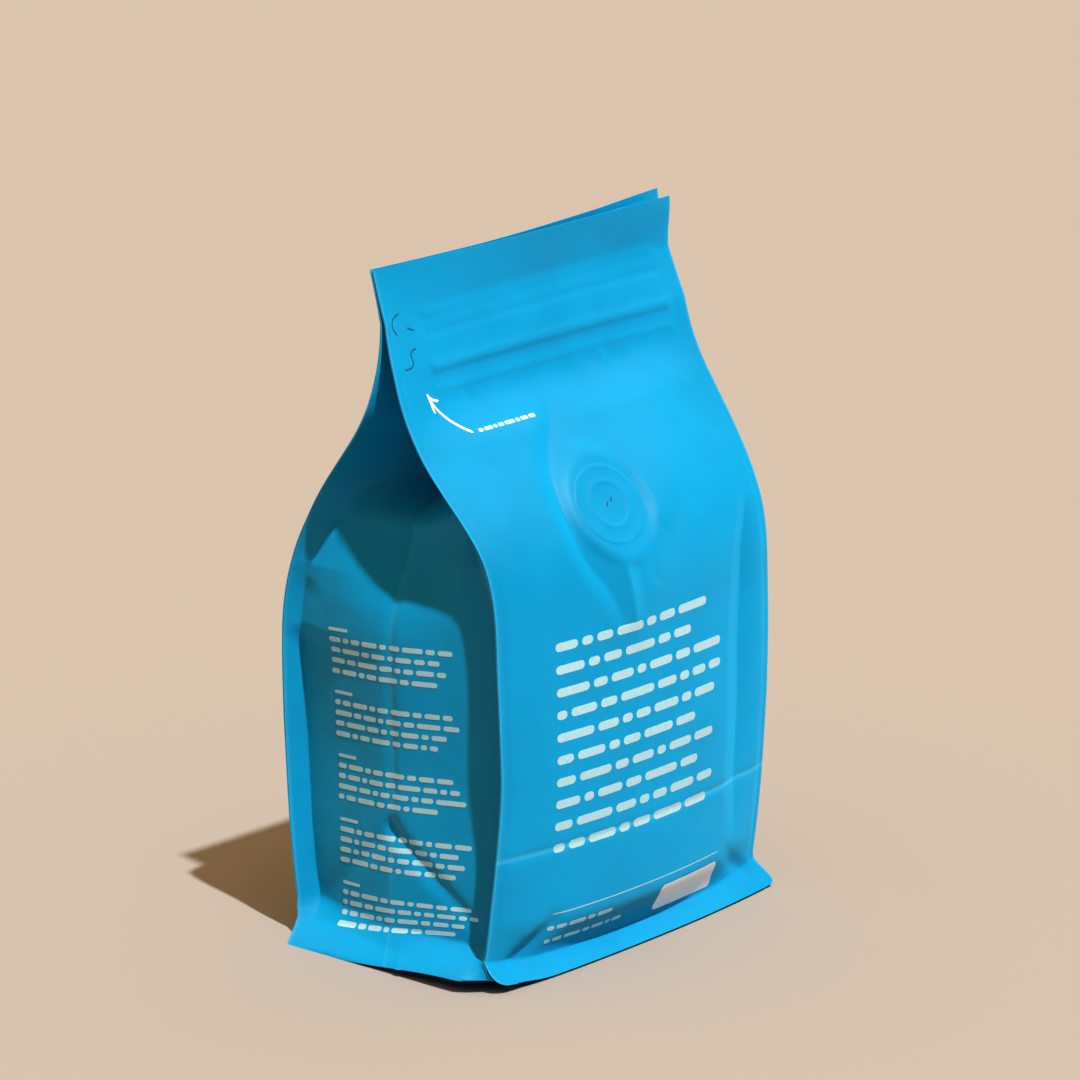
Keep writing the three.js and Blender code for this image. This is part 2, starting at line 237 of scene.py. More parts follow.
def mid_plane(u, z):
    """The middle of the pack between front and back.

    The header leans back from the zip to its weld line, and bends there."""
    at_weld = 5.2 + 1.8 * u - 2.6 * u**4
    at_top = 3.0 + 2.6 * u * u
    lean = at_weld * (np.maximum(0, z - LEAN_HEIGHT) / (WELD_HEIGHT - LEAN_HEIGHT)) ** 1.2
    bent = mix(at_weld, at_top, (z - WELD_HEIGHT) / (HEIGHT - WELD_HEIGHT))
    header = np.where(z < WELD_HEIGHT, lean, bent)
    return mix(MIDDLE["low"], MIDDLE["high"], sets_in(MIDDLE, z)) + header


def half_depth(z):
    """Half the distance between the front and back fin edges."""
    taper = FOOT_TAPER * np.maximum(0, 1 - z / TAPER_TOP) ** 1.5
    closing = 1 / (1 + np.exp((z - SHOULDER[0]) / SHOULDER[1]))
    closing = closing * (1 - HEADER_CLOSES["share"] * sets_in(HEADER_CLOSES, z))
    return HEADER_OPEN + (HALF_DEPTH - taper) * closing


def half_width(z):
    """Half the width of a web. The swell below the shoulder draws the fins in."""
    drawn = SHORTENING["most"] * (1 - sets_in(SHORTENING, z)) * smooth(0, SKIRT_HEIGHT, z)
    waist = WAIST["depth"] * bump((z - WAIST["height"]) / WAIST["reach"])
    return WEB_HALF - drawn - waist


def flare(z):
    """How far the skirt stands out at a height, from 1 at the floor to 0."""
    return np.maximum(0, 1 - z / SKIRT_HEIGHT) ** 1.3


def skirt_fold(u):
    """Height of the fold between a panel and its skirt, which rises towards the fins."""
    return SKIRT_FOLD["middle"] + SKIRT_FOLD["rise"] * np.abs(u) ** 3


def skirt_out(u, face, z):
    """How far the base skirt stands out from the foot of a panel."""
    run = np.maximum(0, 1 - z / skirt_fold(u))
    end = np.where(u < 0, SKIRT_STEP["left"], SKIRT_STEP["right"])
    front = SKIRT_STEP["front"] + end * u * u
    return np.where(face < 0, front, SKIRT_STEP["back"] * (1 - 2 * u * u)) * run


def swell(u, z):
    """How far the beans push a panel out past the line between its fins."""
    fold = skirt_fold(u)
    full = mix(BELLY["foot"], BELLY["body"], smooth(10, BELLY["foot_ends"], z))
    low = mix(0.35, 1, smooth(fold - 1, fold + 15, z))
    return full * low * (1 - sets_in(BELLY, z)) * (1 - np.abs(u) ** BELLY["round"])


def pinch(u, z):
    """How far the closed zip draws a panel in, between the gussets that keep the ends apart."""
    held = PINCH["share"] * sets_in(PINCH, z) * (1 - np.minimum(1, np.abs(u)) ** 3)
    return held * (half_depth(z) - PINCH["left"])


def panel_depth(u, face, z):
    """Depth of a panel before its folds. face is -1 for the front and 1 for the back."""
    spring = TOP_SPRING * smooth(0.45, 1.05, u) * smooth(WELD_HEIGHT - 1, HEIGHT, z)
    half = half_depth(z) - pinch(u, z) + spring + swell(u, z) + skirt_out(u, face, z)
    return mid_plane(u, z) + face * half


def fin_edge(side, face, z):
    """Plan place of a fin's outer edge, with the round of the front feet."""
    x = half_width(z)
    rise = LEFT_FOOT_RADIUS - np.minimum(z, LEFT_FOOT_RADIUS)
    rounded = LEFT_FOOT_RADIUS - np.sqrt(LEFT_FOOT_RADIUS**2 - rise**2)
    low = RIGHT_FOOT_RADIUS - np.minimum(z, RIGHT_FOOT_RADIUS)
    small = RIGHT_FOOT_RADIUS - np.sqrt(RIGHT_FOOT_RADIUS**2 - low**2)
    if side < 0:
        out = np.where(face < 0, -rounded, FOOT_OUT["left_back"] * flare(z * BACK_DROP))
    else:
        front = FOOT_OUT["right_front"] * flare(z) - small
        out = np.where(face < 0, front, FOOT_OUT["right_back"] * flare(z))
    return side * (x + out), panel_depth(np.full_like(z, side), face, z)


def header_relief(x, z):
    middle, half = RIDGE_SPAN
    reach = 1 - smooth(half - 2, half + 2, np.abs(x - middle))
    return sum(out * bump((z - at) / width) for at, out, width in HEADER_RIDGES) * reach


def valve_plane():
    """The flat that the stiff valve holds the film to: its depth and its two slopes."""
    step = 11.0
    u, z = np.array(VALVE_PLACE[0] / WEB_HALF), np.array(VALVE_PLACE[1])
    left, right = (panel_depth(u + way * step / WEB_HALF, -1, z) for way in (-1, 1))
    below, above = (panel_depth(u, -1, z + way * step) for way in (-1, 1))
    depth = (left + right + below + above) / 4
    return float(depth), float(right - left) / (2 * step), float(above - below) / (2 * step)


def front_depth(u, z):
    """Depth of the front web at a place, with the valve's flat, folds and header relief."""
    x = u * half_width(z)
    y = panel_depth(u, -1, z)
    plane, slope_x, slope_z = valve_plane()
    dx, dz = x - VALVE_PLACE[0], z - VALVE_PLACE[1]
    near = 1 - smooth(VALVE_RADIUS, VALVE_FLAT, np.hypot(dx, dz))
    y = mix(y, plane + slope_x * dx + slope_z * dz, near)
    inside = 1 - np.abs(u) ** 8
    folds = sum(fold_depth(f, x, z) for f in FRONT_FOLDS)
    folds = folds + sum(long_fold(f, x, z, True) for f in CRISP_FOLDS)
    folds = folds + long_fold(SHOULDER_RIDGE, x, z, False)
    y = y + inside * (1 - near) * folds
    y = y + low_crease(z) * inside
    return y - header_relief(x, z)


def back_depth(u, z):
    """Depth of the back web. It is out of sight in the photo, and takes the front one's folds."""
    x = u * half_width(z)
    inside = 1 - np.abs(u) ** 8
    folds = low_crease(z) + long_fold(RIGHT_VALLEY, -x, z, True)
    folds = folds + 0.6 * long_fold(LEFT_VALLEY, -x, z, True)
    folds = folds + sum(fold_depth(f, -x, z) for f in FRONT_FOLDS)
    return panel_depth(u, 1, z) - folds * inside + header_relief(x, z)


def panel_point(face, u, z):
    """A place of the front (-1) or back (1) web. u runs from the left fin to the right one."""
    left, right = fin_edge(-1, face, z), fin_edge(1, face, z)
    depth = front_depth(u, z) if face < 0 else back_depth(u, z)
    end = np.where(u < 0, left[1], right[1])
    x = mix(left[0], right[0], (1 + u) / 2)
    lift = front_lift(u) * flare(z) if face < 0 else 0
    return x, mix(depth, end, smooth(0.93, 1, np.abs(u))), z + lift


def front_lift(u):
    """How far the front web's lower edge is off the floor. Its left foot stands highest."""
    return FRONT_LIFT + FOOT_LIFT * smooth(-0.72, -1, u)


def gusset_point(side, s, z, gap):
    """A place of a gusset web. s runs from its front fin edge at 0 to its back one at 1."""
    face = np.where(s < 0.5, -1.0, 1.0)
    p = 1 - np.abs(2 * s - 1)
    lift = gusset_lift(side, s)
    z = z + lift * np.maximum(0, 1 - z / (2 * SKIRT_HEIGHT))
    low = np.maximum(0, z - lift) * SKIRT_HEIGHT / (SKIRT_HEIGHT - lift)
    if side < 0:
        low = low * mix(1, BACK_DROP, smooth(0.4, 1, s))
    in_web = z
    if side < 0:
        in_web = z - front_lift(-1) * flare(z) * smooth(0.25, 0, s)
    edge_x, edge_y = fin_edge(side, face, in_web)
    other_x, other_y = fin_edge(side, -face, z)
    half = np.abs(edge_y - other_y) / 2
    along = p * half
    off_middle = half - along

    valley_at = mix(VALLEY_PLACE["low"], VALLEY_PLACE["high"], sets_in(VALLEY_PLACE, z))
    wall = WALL_INSET[side] + ROOF["inset"] * sets_in(ROOF, z)
    outward = np.clip((along - valley_at) / np.maximum(1, half - valley_at), 0, 1)
    shallow = np.where((face > 0) & (side < 0), DART["share"] * sets_in(DART, z), 0)
    valley = np.maximum(FIN_FLANK[side] * (1 - shallow), wall + 1.5) * smooth(0, 14, z)
    rounded = wall + (valley - wall) * (1 - outward) ** WALL_POWER
    filled = np.where(along < valley_at, valley * along / valley_at, rounded)
    reach = np.maximum(0, 1 - off_middle / CENTRE_FOLD["reach"])
    filled = filled + CENTRE_FOLD["depth"] * sets_in(CENTRE_FOLD, z) * reach
    crease = bump(off_middle / CENTRE_CREASE["width"]) * sets_in(CENTRE_CREASE, z)
    filled = filled + CENTRE_CREASE["depth"] * crease
    filled = filled + sum(fold_depth(f, face * off_middle, z) for f in GUSSET_FOLDS)

    deep = np.sqrt(np.maximum(0, GUSSET_HALF**2 - half**2))
    ledge_at = np.where(face > 0, LEDGE["back"], mix(LEDGE["front"], LEDGE["back"], p))
    folded = smooth(ledge_at, ledge_at + LEDGE["tall"], z)

    bow = SKIRT_BOW[side]
    if bow > 0:
        shape = smooth(0, 0.12, s) * (1 - s**2.2)
    else:
        shape = 1 - (2 * s - 1) ** 2
    crease_out = SKIRT_CREASE["out"] / abs(bow) if bow > 0 else 0
    crease = bump((face * off_middle - SKIRT_CREASE["place"]) / SKIRT_CREASE["width"])
    shape = shape + crease_out * crease
    inset = mix(mix(filled, p * deep, folded), -bow * shape, flare(low))
    x = mix(edge_x, (edge_x + other_x) / 2, p) - side * inset

    u = np.clip(x / half_width(z), -1, 1)
    panel = panel_depth(u, face, z)
    middle = (panel + panel_depth(u, -face, z)) / 2
    inner = np.minimum(gap, np.abs(panel - middle) * 0.9)
    return x, mix(panel - face * inner, middle, p), z


def gusset_lift(side, s):
    """How far the lower edge of a gusset's skirt is off the floor."""
    if side > 0:
        return FRONT_LIFT * (1 - smooth(0, 0.4, s))
    return SKIRT_LIFT["rise"] * smooth(SKIRT_LIFT["until"], SKIRT_LIFT["start"], s)


def to_frame(x, y, z):
    """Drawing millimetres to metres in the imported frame."""
    x, y, z = np.broadcast_arrays(x, y, z)
    return np.stack([x + BOX_SHIFT[0], y + BOX_SHIFT[1], z], axis=-1) / 1000


def crowded(t, end, marks):
    """Turns even places from 0 to 1 into places from 0 to end, closer together at the marks."""
    place = np.linspace(0, end, 1200)
    weight = 1 + sum(strength * bump((place - at) / width) for at, width, strength in marks)
    total = np.concatenate([[0], np.cumsum((weight[1:] + weight[:-1]) / 2)])
    return np.interp(t, total / total[-1], place)


def linear(code):
    """The linear colour of an sRGB hex code."""
    channels = [int(code[i : i + 2], 16) / 255 for i in (1, 3, 5)]
    return [c / 12.92 if c <= 0.04045 else ((c + 0.055) / 1.055) ** 2.4 for c in channels]


def sizes():
    return bpy.context.scene.pouch_sizes


def finishes():
    return bpy.context.scene.pouch_finishes


def add_node(tree, kind, settings=None, inputs=None):
    """Adds a shader node with its settings. An input is a value or another node's output."""
    made = tree.nodes.new(kind)
    for key, value in (settings or {}).items():
        setattr(made, key, value)
    for key, value in (inputs or {}).items():
        if isinstance(value, bpy.types.NodeSocket):
            tree.links.new(value, made.inputs[key])
        else:
            made.inputs[key].default_value = value
    return made


def new_material(name):
    material = bpy.data.materials.get(name)
    if material:
        return material, None, None
    material = bpy.data.materials.new(name)
    material.use_nodes = True
    tree = material.node_tree
    tree.nodes.clear()
    shader = add_node(tree, "ShaderNodeBsdfPrincipled")
    output = add_node(tree, "ShaderNodeOutputMaterial")
    tree.links.new(shader.outputs["BSDF"], output.inputs["Surface"])
    return material, tree, shader


def colour_of(value):
    return (*value[:3], 1.0)


def matt_laminate(name, tone, worn_tone):
    """Reverse-printed polyester and polyethylene laminate with a matt lacquer.

    It gives the eye a flat saturated ink under a fine-grained lacquer: a broad soft highlight
    and no mirror image. The ink lightens where the film has been folded hard."""
    material, tree, shader = new_material(name)
    if tree is None:
        return material
    place = add_node(tree, "ShaderNodeTexCoord").outputs["Object"]
    # the lacquer rubs and the ink lies unevenly over patches about 30 mm across
    cloud = add_node(
        tree,
        "ShaderNodeTexNoise",
        inputs={"Vector": place, "Scale": 33.0, "Detail": 3.0, "Roughness": 0.55},
    ).outputs["Fac"]
    # lacquer grain of 0.4 mm, coarser than the real 0.05 mm so that it shows
    grain = add_node(
        tree,
        "ShaderNodeTexNoise",
        inputs={"Vector": place, "Scale": 2500.0, "Detail": 2.0, "Roughness": 0.6},
    ).outputs["Fac"]
    # slack film ripples of about 9 mm
    ripple = add_node(
        tree,
        "ShaderNodeTexNoise",
        inputs={"Vector": place, "Scale": 110.0, "Detail": 2.0, "Roughness": 0.4},
    ).outputs["Fac"]
    worn = add_node(tree, "ShaderNodeAttribute", {"attribute_name": "wear"}).outputs["Fac"]
    patches = add_node(
        tree,
        "ShaderNodeMapRange",
        inputs={"Value": cloud, "From Min": 0.3, "From Max": 0.7, "To Min": 0.94, "To Max": 1.05},
    ).outputs["Result"]
    even = add_node(
        tree,
        "ShaderNodeHueSaturation",
        inputs={"Value": patches, "Color": colour_of(tone)},
    ).outputs["Color"]
    share = add_node(
        tree,
        "ShaderNodeMath",
        {"operation": "MULTIPLY"},
        {0: worn, 1: grain},
    ).outputs["Value"]
    colour = add_node(
        tree,
        "ShaderNodeMix",
        {"data_type": "RGBA"},
        {"Factor": share, "A": even, "B": colour_of(worn_tone)},
    )
    tree.links.new(colour.outputs["Result"], shader.inputs["Base Color"])
    rough = add_node(
        tree,
        "ShaderNodeMapRange",
        inputs={"Value": cloud, "From Min": 0.3, "From Max": 0.7, "To Min": 0.5, "To Max": 0.58},
    ).outputs["Result"]
    tree.links.new(rough, shader.inputs["Roughness"])
    waves = add_node(
        tree,
        "ShaderNodeBump",
        inputs={"Strength": 0.35, "Distance": 0.0006, "Height": ripple},
    ).outputs["Normal"]
    fine = add_node(
        tree,
        "ShaderNodeBump",
        inputs={"Strength": 0.25, "Distance": 0.00004, "Height": grain, "Normal": waves},
    ).outputs["Normal"]
    tree.links.new(fine, shader.inputs["Normal"])
    # the lacquer's silica grains scatter grazing light back, so that slopes differ little in tone
    shader.inputs["Diffuse Roughness"].default_value = 1.0
    shader.inputs["IOR"].default_value = 1.5
    shader.inputs["Specular IOR Level"].default_value = 0.5
    shader.inputs["Specular Tint"].default_value = colour_of(linear("#9CE2FF"))
    return material


def printed_ink(name, tone, dim):
    """Gravure white or tinted ink under the same lacquer. It gives a flat, slightly uneven tone."""
    material, tree, shader = new_material(name)
    if tree is None:
        return material
    place = add_node(tree, "ShaderNodeTexCoord").outputs["Object"]
    # the cylinder's cells leave the ink thin in specks of 0.5 mm
    specks = add_node(
        tree,
        "ShaderNodeTexNoise",
        inputs={"Vector": place, "Scale": 2000.0, "Detail": 2.0, "Roughness": 0.5},
    ).outputs["Fac"]
    share = add_node(
        tree,
        "ShaderNodeMapRange",
        inputs={"Value": specks, "From Min": 0.45, "From Max": 0.8, "To Min": 0.0, "To Max": dim},
    ).outputs["Result"]
    colour = add_node(
        tree,
        "ShaderNodeMix",
        {"data_type": "RGBA"},
        {"Factor": share, "A": colour_of(tone), "B": colour_of(finishes().film)},
    )
    tree.links.new(colour.outputs["Result"], shader.inputs["Base Color"])
    shader.inputs["Roughness"].default_value = 0.5
    shader.inputs["IOR"].default_value = 1.5
    return material


def film_material():
    return matt_laminate("matt_laminate", finishes().film, finishes().worn)


def add_piece(name, bm, material):
    """Turns a bmesh into a finished piece that rides on the pack and stands for its solid."""
    mesh = bpy.data.meshes.new(name)
    bm.to_mesh(mesh)
    bm.free()
    mesh.materials.append(material)
    mesh.shade_smooth()
    mesh.set_sharp_from_angle(angle=math.radians(50))
    piece = bpy.data.objects.new(name, mesh)
    bpy.context.scene.collection.objects.link(piece)
    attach(piece, "root")
    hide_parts("pouch")
    return piece


def new_bmesh():
    bm = bmesh.new()
    bm.loops.layers.uv.new("UVMap")
    bm.verts.layers.float.new("wear")
    return bm


def add_sheet(bm, columns, rows, shape):
    """Adds a grid to a bmesh and moves its corners by shape, which may return a wear as well."""
    made = bmesh.ops.create_grid(
        bm, x_segments=columns, y_segments=rows, size=0.5, calc_uvs=True
    )["verts"]
    flat = np.array([v.co[:2] for v in made]) + 0.5
    x, y, z, *worn = shape(flat[:, 0], flat[:, 1])
    for vert, place in zip(made, to_frame(x, y, z)):
        vert.co = place
    if worn:
        layer = bm.verts.layers.float["wear"]
        for vert, amount in zip(made, worn[0]):
            vert[layer] = amount
    return made


def thicken(bm, thickness):
    """Gives sheets their thickness, on the side away from the way they face."""
    bm.normal_update()
    bmesh.ops.solidify(bm, geom=bm.faces[:], thickness=thickness)
    for vert in bm.verts:
        vert.co.z = max(vert.co.z, 0)


class PouchSizes(bpy.types.PropertyGroup):
    film: bpy.props.FloatProperty(
        name="Film",
        description="Thickness of the laminate",
        default=0.00024,
        min=0.00005,
        unit="LENGTH",
    )
    ink: bpy.props.FloatProperty(
        name="Ink",
        description="How far the print stands off the film",
        default=0.00005,
        min=0.00001,
        unit="LENGTH",
    )
    back_rise: bpy.props.FloatProperty(
        name="Back web rise",
        description="How far the back web stands above the front one at the right corner",
        default=0.0017,
        unit="LENGTH",
    )


class PouchFinishes(bpy.types.PropertyGroup):
    film: bpy.props.FloatVectorProperty(
        name="Film",
        description="Colour of the printed laminate",
        subtype="COLOR",
        default=linear("#0090C9"),
        min=0,
        max=1,
    )
    worn: bpy.props.FloatVectorProperty(
        name="Worn film",
        description="Colour of the laminate along hard folds and cut edges",
        subtype="COLOR",
        default=linear("#5CC4EC"),
        min=0,
        max=1,
    )
    pale: bpy.props.FloatVectorProperty(
        name="Pale ink",
        description="Colour of the rows of print",
        subtype="COLOR",
        default=linear("#A4CEE4"),
        min=0,
        max=1,
    )
    white: bpy.props.FloatVectorProperty(
        name="White ink",
        description="Colour of the blank box and the arrow",
        subtype="COLOR",
        default=linear("#E6E6EA"),
        min=0,
        max=1,
    )
    paper: bpy.props.FloatVectorProperty(
        name="Paper",
        description="Colour of the studio floor",
        subtype="COLOR",
        default=linear("#8E8C8E"),
        min=0,
        max=1,
    )


# Where the rows and columns of the webs crowd together: place, width, strength
PANEL_ROWS = ((4, 7, 1.4), (45, 3, 1.5), (150, 16, 0.4), (196, 12, 1.8), (212, 6, 1.2))
GUSSET_ROWS = ((4, 7, 1.4), (30, 14, 0.5), (150, 14, 0.8))
GUSSET_COLUMNS = ((0.06, 0.06, 1.2), (0.5, 0.03, 1.5), (0.94, 0.06, 1.2))

# Wear of the film: strength and reach in mm, on a web of this width in mm
FIN_WEAR = (0.5, 0.6)
LOW_WEAR = (0.6, 0.8)
CENTRE_WEAR = (0.2, 0.8)
PANEL_WEAR_WIDTH = 70
GUSSET_WEAR_WIDTH = 90


def wear(kind, distance):
    strength, reach = kind
    return strength * bump(distance / reach)


class POUCH_OT_panels(bpy.types.Operator):
    """Front and back webs, from the base skirt to the open top edge"""

    bl_idname = "pouch.panels"
    bl_label = "Panels"

    def execute(self, context):
        film = sizes().film
        for name, face, columns, rows in (
            ("front_web", -1, 188, 256),
            ("back_web", 1, 120, 200),
        ):

            def shape(s, t, face=face):
                u = (2 * s - 1) * -face
                u = np.sign(u) * (1 - (1 - np.abs(u)) ** 1.15)
                z = crowded(t, HEIGHT, PANEL_ROWS)
                x, y, z = panel_point(face, u, z)
                if face > 0:
                    rise = sizes().back_rise * 1000 * smooth(-0.4, 0.9, u)
                    z = z + rise * smooth(200, HEIGHT, z)
                edge = wear(FIN_WEAR, (1 - np.abs(u)) * PANEL_WEAR_WIDTH)
                crease = wear(LOW_WEAR, z - LOW_CREASE["height"])
                return x, y, z, np.clip(edge + crease, 0, 1)

            bm = new_bmesh()
            add_sheet(bm, columns, rows, shape)
            thicken(bm, film)
            add_piece(name, bm, film_material())
        return {"FINISHED"}


class POUCH_OT_gussets(bpy.types.Operator):
    """Side gussets: filled walls below, folded in between the panels above"""

    bl_idname = "pouch.gussets"
    bl_label = "Gussets"

    def execute(self, context):
        film = sizes().film
        gap = 2000 * film + 0.05
        for name, side, columns, rows in (
            ("left_gusset", -1, 150, 250),
            ("right_gusset", 1, 110, 200),
        ):

            def shape(s, t, side=side):
                s = s if side > 0 else 1 - s
                s = crowded(s, 1, GUSSET_COLUMNS)
                z = crowded(t, HEIGHT - 0.6, GUSSET_ROWS)
                x, y, z = gusset_point(side, s, z, gap)
                edge = wear(FIN_WEAR, np.minimum(s, 1 - s) * GUSSET_WEAR_WIDTH)
                crease = wear(CENTRE_WEAR, (s - 0.5) * GUSSET_WEAR_WIDTH)
                return x, y, z, np.clip(edge + crease, 0, 1)

            bm = new_bmesh()
            add_sheet(bm, columns, rows, shape)
            thicken(bm, film)
            add_piece(name, bm, film_material())
        return {"FINISHED"}


class POUCH_OT_base(bpy.types.Operator):
    """Base web, welded inside the skirt"""

    bl_idname = "pouch.base"
    bl_label = "Base web"

    def execute(self, context):
        gap = 0.8

        def shape(s, t):
            u = 2 * s - 1
            turned = 1 - t
            left_part = gusset_lift(-1, turned) * (1 - smooth(0, 0.1, s))
            lift = np.maximum(left_part, front_lift(u) * smooth(0.85, 0.97, t))
            low = np.maximum(0.4, lift - front_lift(u))
            front = panel_point(-1, u, low)[1] + gap
            back = panel_point(1, u, np.full_like(s, 0.4))[1] - gap
            left = gusset_point(-1, turned, np.zeros_like(s), gap)[0] + gap
            right = gusset_point(1, turned, np.zeros_like(s), gap)[0] - gap
            inner = smooth(0, 0.06, np.minimum(np.minimum(s, 1 - s), np.minimum(t, 1 - t)))
            z = 0.3 + lift + 1.3 * inner
            return mix(left, right, s), mix(back, front, t), z, np.zeros_like(s)

        bm = new_bmesh()
        add_sheet(bm, 120, 90, shape)
        thicken(bm, sizes().film)
        add_piece("base_web", bm, film_material())
        return {"FINISHED"}


VALVE_PROFILE = (
    (14.9, -0.12), (14.45, 0.0), (14.0, 0.16), (13.6, 0.28), (13.2, 0.3), (12.8, 0.26),
    (12.0, 0.2), (10.2, 0.2), (9.4, 0.24), (8.8, 0.36), (8.2, 0.48), (7.7, 0.48), (7.2, 0.36),
    (6.7, 0.24), (6.0, 0.2), (1.2, 0.2), (0.0, 0.2),
)


class POUCH_OT_valve(bpy.types.Operator):
    """Film drawn over the rim and the inner ring of the one-way degassing valve"""

    bl_idname = "pouch.valve"
    bl_label = "Valve"

    def execute(self, context):
        plane, slope_x, slope_z = valve_plane()
        normal = Vector((slope_x, -1, slope_z)).normalized()
        turn = Vector((0, 0, 1)).rotation_difference(normal)
        x, y, z = to_frame(VALVE_PLACE[0], plane, VALVE_PLACE[1])

        bm = new_bmesh()
        verts = [bm.verts.new((r / 1000, 0, h / 1000)) for r, h in VALVE_PROFILE]
        edges = [bm.edges.new(pair) for pair in zip(verts, verts[1:])]
        bmesh.ops.spin(
            bm,
            geom=verts + edges,
            cent=(0, 0, 0),
            axis=(0, 0, 1),
            angle=2 * math.pi,
            steps=96,
            use_merge=True,
        )
        bmesh.ops.remove_doubles(bm, verts=bm.verts[:], dist=1e-6)
        bmesh.ops.recalc_face_normals(bm, faces=bm.faces[:])
        if sum(f.normal.z for f in bm.faces) < 0:
            bmesh.ops.reverse_faces(bm, faces=bm.faces[:])
        bmesh.ops.rotate(bm, verts=bm.verts[:], cent=(0, 0, 0), matrix=turn.to_matrix())
        bmesh.ops.translate(bm, verts=bm.verts[:], vec=(x, y, z))
        thicken(bm, sizes().film)
        add_piece("valve", bm, film_material())
        return {"FINISHED"}


def add_ink(name, bm, material):
    """Finishes a piece of printed marks, a little thinner than it stands off the film."""
    thicken(bm, sizes().ink * 0.8)
    add_piece(name, bm, material)


def front_place(x, z, off):
    """A place of the front web by its x and height, off millimetres in front of the film."""
    u = x / half_width(z)
    step = 0.4
    px, py, pz = panel_point(-1, u, z)
    rx, ry, _ = panel_point(-1, u + step / WEB_HALF, z)
    _, ty, _ = panel_point(-1, u, z + step)
    slope_x = (ry - py) / (rx - px)
    slope_z = (ty - py) / step
    length = np.sqrt(1 + slope_x**2 + slope_z**2)
    return px + off * slope_x / length, py - off / length, pz + off * slope_z / length


def side_place(side, y, z, off):
    """A place of a gusset's wall by its y and height, off millimetres outside it."""
    low, high = np.zeros_like(y), np.ones_like(y)
    for _ in range(26):
        middle = (low + high) / 2
        here = gusset_point(side, middle, z, 0.5)[1]
        low = np.where(here < y, middle, low)
        high = np.where(here < y, high, middle)
    step = 0.003
    px, py, pz = gusset_point(side, low, z, 0.5)
    qx, qy, _ = gusset_point(side, low + step, z, 0.5)
    tx, _, tz = gusset_point(side, low, z + 0.4, 0.5)
    slope_y = (qx - px) / (qy - py)
    slope_z = (tx - px) / (tz - pz)
    off = side * off / np.sqrt(1 + slope_y**2 + slope_z**2)
    return px + off, py - off * slope_y, pz - off * slope_z


def rounded_bar(s, t, ends, levels, radius):
    """A rounded rectangle: its two ends, its lower and upper level, and the round of its corners."""
    half_long, half_tall = (ends[1] - ends[0]) / 2, (levels[1] - levels[0]) / 2
    v = np.sin((t - 0.5) * math.pi)
    over = np.clip((np.abs(v) * half_tall - half_tall + radius) / radius, 0, 1)
    inset = radius * (1 - np.sqrt(np.maximum(0, 1 - over**2)))
    a = (ends[0] + ends[1]) / 2 + (2 * s - 1) * (half_long - inset)
    return a, (levels[0] + levels[1]) / 2 + v * half_tall


def word_bars(left, right, tall, start):
    """Splits a row into bars of word length, from a repeating run of lengths."""
    gap = 0.62 * tall
    bars, at, turn = [], left, start
    while at < right - 1.2 * tall:
        end = at + WORD_LENGTHS[turn % len(WORD_LENGTHS)] * tall * 0.78
        if right - end < 2.4 * tall:
            end = right
        bars.append((at, end))
        at = end + gap
        turn += 1
    return bars


def add_bars(bm, bars, place, tilt=0.0):
    """Adds thin rounded bars to a bmesh. place turns a pair of numbers into a point."""
    off = sizes().ink * 1000
    for ends, levels, radius in bars:
        columns = max(3, int((ends[1] - ends[0]) / 1.2))
        rows = max(8, int((levels[1] - levels[0]) / 0.35))

        def shape(s, t, ends=ends, levels=levels, radius=radius):
            a, b = rounded_bar(s, t, ends, levels, radius)
            return place(a, b + tilt * (a - ends[0]), off)

        add_sheet(bm, columns, rows, shape)


class POUCH_OT_print(bpy.types.Operator):
    """Rows of plain bars on the front web and the gussets, a rule and a blank white box"""

    bl_idname = "pouch.print"
    bl_label = "Print"

    def execute(self, context):
        pale = printed_ink("pale_ink", finishes().pale, 0.35)
        white = printed_ink("white_ink", finishes().white, 0.12)

        bars = []
        tall = FRONT_ROWS["tall"]
        for row, right in enumerate(FRONT_ROW_ENDS):
            low = FRONT_ROWS["first"] - FRONT_ROWS["pitch"] * row
            for ends in word_bars(FRONT_ROWS["left"], right, tall, 3 * row):
                bars.append((ends, (low, low + tall), tall * 0.5))
        tall = FOOT_ROWS["tall"]
        for low, right in FOOT_ROWS["rows"]:
            for ends in word_bars(FOOT_ROWS["left"], right, tall, 4):
                bars.append((ends, (low, low + tall), tall * 0.5))
        low, tall = ARROW_ROW["low"], ARROW_ROW["tall"]
        for ends in word_bars(ARROW_ROW["left"], ARROW_ROW["right"], tall, 2):
            bars.append((ends, (low, low + tall), tall * 0.5))
        bars.append((RULE["ends"], RULE["levels"], 0.17))
        bm = new_bmesh()
        add_bars(bm, bars, front_place)
        add_ink("front_print", bm, pale)

        bm = new_bmesh()
        add_bars(bm, [tuple(BLANK_BOX.values())], front_place)
        add_ink("blank_box", bm, white)

        bars = []
        tall = SIDE_ROWS["tall"]
        for section in range(SIDE_ROWS["sections"]):
            top = SIDE_ROWS["first"] - SIDE_ROWS["drop"] * section
            pitch = SIDE_ROWS["pitch"] * (1 - 0.015 * section)
            left = -30.5 + section
            bars.append(((left, left + 9), (top, top + 1.1), 0.5))
            for row in range(SIDE_ROWS["rows"]):
                low = top - pitch * (row + 1.05)
                right = 23 + 2.2 * section - 2.5 * ((row * 2 + section) % 3) - 6 * (row == 3)
                for a, b in word_bars(left, right, tall, 5 * row + section):
                    rise = SIDE_SLOPE * (a - left)
                    bars.append(((a, b), (low + rise, low + tall + rise), tall * 0.5))
        for name, side in (("left_print", -1), ("right_print", 1)):

            def place(a, b, off, side=side):
                return side_place(side, side * a, b, off)

            bm = new_bmesh()
            add_bars(bm, bars, place, SIDE_SLOPE)
            add_ink(name, bm, pale)
        return {"FINISHED"}


